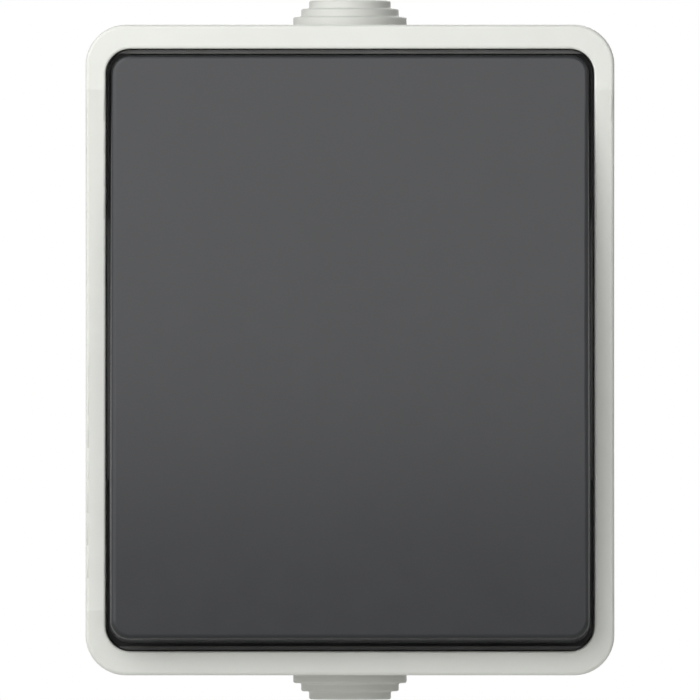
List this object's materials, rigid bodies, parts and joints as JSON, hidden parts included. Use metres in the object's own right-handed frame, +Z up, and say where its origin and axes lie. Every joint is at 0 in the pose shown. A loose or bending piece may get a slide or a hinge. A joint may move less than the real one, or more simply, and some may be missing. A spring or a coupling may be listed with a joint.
{
  "type": "surface mounted light switch",
  "caption": "Surface mounted light switch with a light grey housing, one large dark grey rocker and stepped cable grommets at both ends, for damp rooms.",
  "frame": {"origin": "centre of the back box's flat back, on the wall", "axes": "+Z up along the housing's height, +Y into the wall, +X to the right as seen from the front"},
  "size_m": [0.066, 0.0517, 0.088],
  "materials": {
    "housing_plastic": "fine moulded texture, light grey",
    "rocker_plastic": "fine moulded texture, dark grey",
    "carrier_plastic": "moulded, anthracite",
    "grommet_rubber": "smooth elastomer, light grey",
    "seal_rubber": "smooth elastomer, black",
    "insert_plastic": "moulded, off-white",
    "toggle_plastic": "moulded, pale grey",
    "release_plastic": "moulded, orange",
    "zinc_steel": "zinc plated",
    "spring_steel": "bright spring steel",
    "contact_brass": "bright stamped strip",
    "contact_silver": "silver alloy rivet"
  },
  "bodies": {
    "housing": {"base_box": "housing_plastic", "cover_frame": "housing_plastic", "housing_gasket": "seal_rubber", "grommet_top": "grommet_rubber", "grommet_bottom": "grommet_rubber", "sealing_membrane": "seal_rubber", "rocker_carrier": "carrier_plastic", "cover_screws": "zinc_steel", "insert_screws": "zinc_steel", "insert_socket": "insert_plastic", "insert_cover": "insert_plastic", "fixed_contacts": "contact_silver", "terminal_common": "contact_brass", "terminal_upper": "contact_brass", "terminal_lower": "contact_brass", "terminal_loop": "contact_brass", "earth_bar": "contact_brass", "earth_holder": "insert_plastic", "clamp_spring_common": "spring_steel", "clamp_spring_upper": "spring_steel", "clamp_spring_lower": "spring_steel", "clamp_spring_loop": "spring_steel"},
    "rocker": {"rocker": "rocker_plastic"},
    "toggle": {"toggle": "toggle_plastic", "plunger": "toggle_plastic", "toggle_spring": "spring_steel"},
    "contact_lever": {"contact_lever": "contact_brass", "contact_tips": "contact_silver"},
    "release_lever_common": {"release_lever_common": "release_plastic"},
    "release_lever_upper": {"release_lever_upper": "release_plastic"},
    "release_lever_lower": {"release_lever_lower": "release_plastic"},
    "release_lever_loop": {"release_lever_loop": "release_plastic"}
  },
  "joints": [
    {"name": "rocker_tilt", "type": "hinge", "parent": "housing", "child": "rocker", "pos_m": [0, -0.0432, 0], "axis": [1, 0, 0], "range_deg": [0, 8], "deforming": ["sealing_membrane"]},
    {"name": "toggle_tilt", "type": "hinge", "parent": "housing", "child": "toggle", "pos_m": [0, -0.034, 0], "axis": [1, 0, 0], "range_deg": [0, 8], "deforming": ["sealing_membrane"]},
    {"name": "lever_throw", "type": "hinge", "parent": "housing", "child": "contact_lever", "pos_m": [0, -0.0211, 0], "axis": [1, 0, 0], "range_deg": [-14, 0]},
    {"name": "release_common", "type": "slide", "parent": "housing", "child": "release_lever_common", "axis": [0, 1, 0], "range_m": [0, 0.0015], "stiffness_N_per_m": 300, "deforming": ["clamp_spring_common"]},
    {"name": "release_upper", "type": "slide", "parent": "housing", "child": "release_lever_upper", "axis": [0, 1, 0], "range_m": [0, 0.0015], "stiffness_N_per_m": 300, "deforming": ["clamp_spring_upper"]},
    {"name": "release_lower", "type": "slide", "parent": "housing", "child": "release_lever_lower", "axis": [0, 1, 0], "range_m": [0, 0.0015], "stiffness_N_per_m": 300, "deforming": ["clamp_spring_lower"]},
    {"name": "release_loop", "type": "slide", "parent": "housing", "child": "release_lever_loop", "axis": [0, 1, 0], "range_m": [0, 0.0015], "stiffness_N_per_m": 300, "deforming": ["clamp_spring_loop"]}
  ],
  "couplings": [
    {"joint": "toggle_tilt", "follows": "rocker_tilt", "ratio": 1},
    {"joint": "lever_throw", "follows": "rocker_tilt", "ratio": -1.75}
  ]
}
